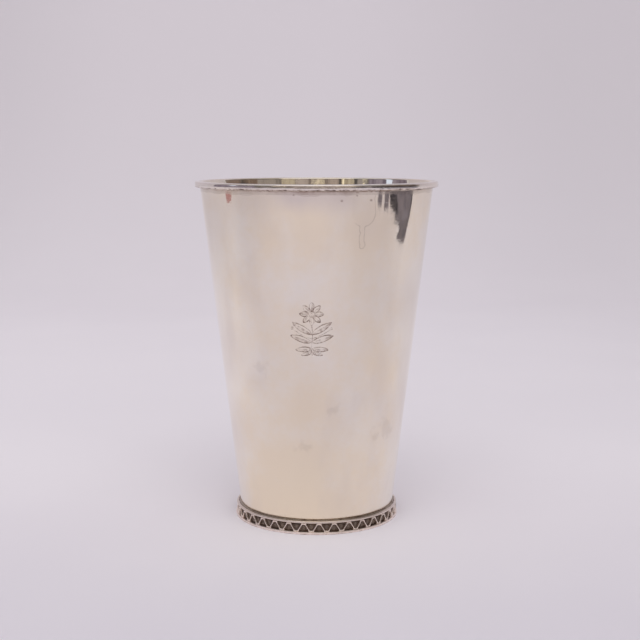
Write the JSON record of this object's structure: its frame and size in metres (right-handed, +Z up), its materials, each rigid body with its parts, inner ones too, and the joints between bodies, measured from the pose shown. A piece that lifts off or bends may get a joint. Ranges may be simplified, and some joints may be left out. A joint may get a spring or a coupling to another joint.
{
  "type": "silver beaker",
  "caption": "Tapered silver drinking beaker with a rounded wire round the lip and a low foot trimmed with a zigzag wire between plain wires.",
  "frame": {"origin": "centre of the foot, on the surface that the beaker stands on", "axes": "+Z up along the beaker's axis, -Y towards the front"},
  "size_m": [0.0856, 0.0856, 0.12],
  "materials": {
    "polished_silver": "hand-polished silver, slightly warm with age, with fine scratches",
    "wire_silver": "drawn silver wire, bright on its crest and tarnished in its corners",
    "oxidised_silver": "blackened silver in the recesses behind the zigzag"
  },
  "bodies": {
    "root": {"body_wall": "polished_silver", "floor_disc": "polished_silver", "rim_wire": "wire_silver", "foot_collar": "oxidised_silver", "upper_foot_wire": "wire_silver", "zigzag_wire": "wire_silver", "lower_foot_wire": "wire_silver"}
  },
  "joints": []
}
